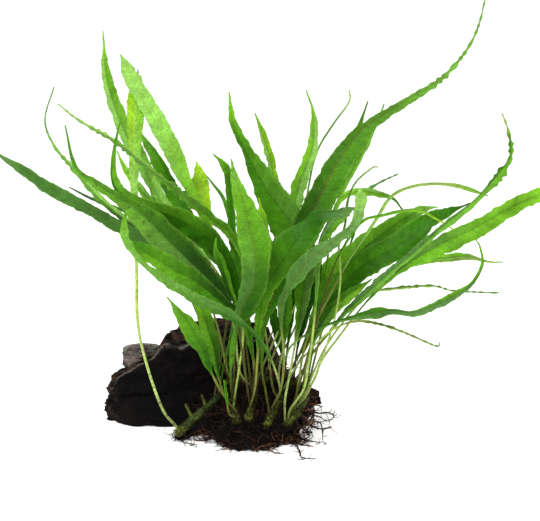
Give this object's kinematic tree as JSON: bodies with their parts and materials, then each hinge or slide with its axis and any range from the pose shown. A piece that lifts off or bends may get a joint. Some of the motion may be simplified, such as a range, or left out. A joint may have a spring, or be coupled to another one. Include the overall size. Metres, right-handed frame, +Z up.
{
  "type": "aquarium plant on driftwood",
  "caption": "Java fern with long arching lance-shaped fronds, grown from short rhizomes over a root mat on a dark lump of driftwood.",
  "frame": {"origin": "on the flat underside of the root mat, below the plant's middle", "axes": "+X to the right across the plant's widest spread, +Y to the back, where the driftwood lies, +Z up"},
  "size_m": [0.3007, 0.1311, 0.2145],
  "materials": {
    "driftwood": "weathered, waterlogged dark wood, rough",
    "roots": "matted brown fibres, matte",
    "rhizome": "mossy green creeping stem, matte",
    "dark_frond": "deep green leaf, faint sheen",
    "fresh_frond": "fresh green leaf, faint sheen",
    "pale_frond": "pale green leaf, faint sheen"
  },
  "bodies": {
    "root": {"driftwood_trunk": "driftwood", "driftwood_knob": "driftwood", "rhizome_left": "rhizome", "rhizome_front_left": "rhizome", "rhizome_centre": "rhizome", "rhizome_middle": "rhizome", "rhizome_right": "rhizome", "rhizome_back": "rhizome", "root_mat": "roots", "frond_01": "fresh_frond", "frond_02": "dark_frond", "frond_03": "pale_frond", "frond_04": "pale_frond", "frond_05": "fresh_frond", "frond_06": "pale_frond", "frond_07": "fresh_frond", "frond_08": "dark_frond", "frond_09": "dark_frond", "frond_10": "fresh_frond", "frond_11": "dark_frond", "frond_12": "pale_frond", "frond_13": "dark_frond", "frond_14": "fresh_frond", "frond_15": "dark_frond", "frond_16": "fresh_frond", "frond_17": "pale_frond", "frond_18": "fresh_frond", "frond_19": "fresh_frond", "frond_20": "fresh_frond", "frond_21": "pale_frond", "frond_22": "pale_frond", "frond_23": "dark_frond", "frond_24": "fresh_frond", "frond_25": "fresh_frond", "frond_26": "dark_frond", "frond_27": "dark_frond", "frond_28": "pale_frond", "frond_29": "fresh_frond", "frond_30": "pale_frond", "frond_31": "fresh_frond", "frond_32": "fresh_frond", "frond_33": "fresh_frond", "frond_34": "fresh_frond", "frond_35": "dark_frond", "frond_36": "dark_frond", "frond_37": "dark_frond", "frond_38": "pale_frond", "frond_39": "fresh_frond", "frond_40": "dark_frond", "frond_41": "fresh_frond", "frond_42": "fresh_frond", "frond_43": "dark_frond", "frond_44": "dark_frond", "frond_45": "dark_frond", "frond_46": "dark_frond"}
  },
  "joints": []
}
